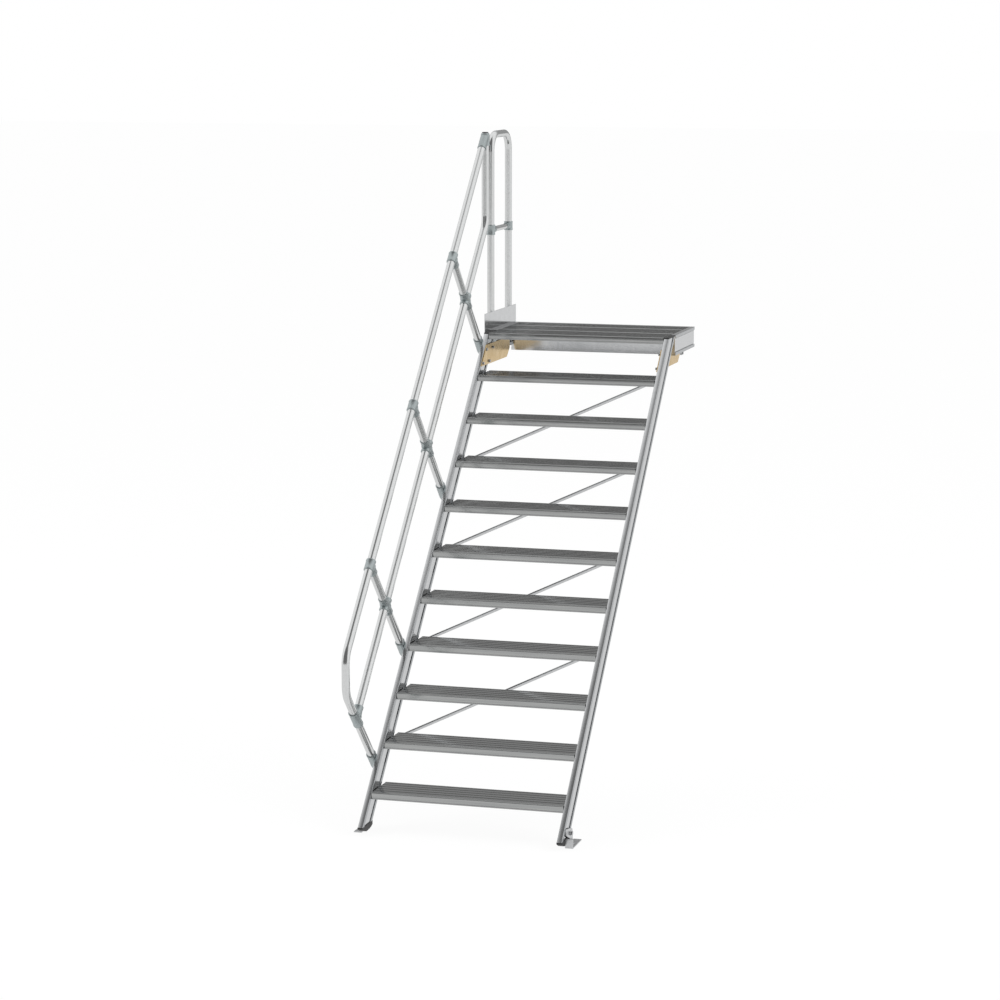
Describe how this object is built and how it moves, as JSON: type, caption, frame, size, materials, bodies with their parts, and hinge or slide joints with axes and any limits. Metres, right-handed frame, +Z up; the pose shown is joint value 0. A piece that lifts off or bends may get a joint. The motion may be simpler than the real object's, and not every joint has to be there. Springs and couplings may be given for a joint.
{
  "type": "platform stair",
  "caption": "Aluminium stair with ribbed treads between box stringers, a landing platform, a tube handrail and knee rail on the left, toe board and guard hoop.",
  "frame": {"origin": "centre of the platform rear beam's flat face, which is fastened to the wall", "axes": "+X to the climber's right, +Y from the stair's foot to the wall, +Z up"},
  "size_m": [1.1275, 2.989, 3.3599],
  "materials": {
    "stringer_profile": "extruded, plain",
    "tread_profile": "extruded, ribbed on top",
    "rail_tube": "smooth drawn tube",
    "cast_fitting": "cast, satin",
    "black_plastic": "moulded",
    "brace_steel": "zinc plated",
    "toe_sheet": "smooth sheet",
    "floor_steel": "zinc plated",
    "yellow_steel": "yellow passivated"
  },
  "bodies": {
    "root": {"bent_rails": "rail_tube", "board_end_plates": "black_plastic", "brace_1": "brace_steel", "brace_2": "brace_steel", "brace_3": "brace_steel", "brace_4": "brace_steel", "deck_board_front": "tread_profile", "deck_board_middle": "tread_profile", "deck_board_rear": "tread_profile", "floor_bracket_left": "floor_steel", "floor_bracket_right": "floor_steel", "handrail_joints": "cast_fitting", "knee_rail_joints": "cast_fitting", "platform_bracket_left": "yellow_steel", "platform_bracket_right": "yellow_steel", "platform_cross_beam": "stringer_profile", "platform_rear_beam": "stringer_profile", "platform_side_left": "stringer_profile", "platform_side_right": "stringer_profile", "posts_and_middle_bar": "rail_tube", "railing_clamps": "cast_fitting", "stringer_caps": "black_plastic", "stringer_left": "stringer_profile", "stringer_right": "stringer_profile", "stringer_shoes": "black_plastic", "toe_board": "toe_sheet", "tread_01": "tread_profile", "tread_02": "tread_profile", "tread_03": "tread_profile", "tread_04": "tread_profile", "tread_05": "tread_profile", "tread_06": "tread_profile", "tread_07": "tread_profile", "tread_08": "tread_profile", "tread_09": "tread_profile", "tread_10": "tread_profile"}
  },
  "joints": []
}
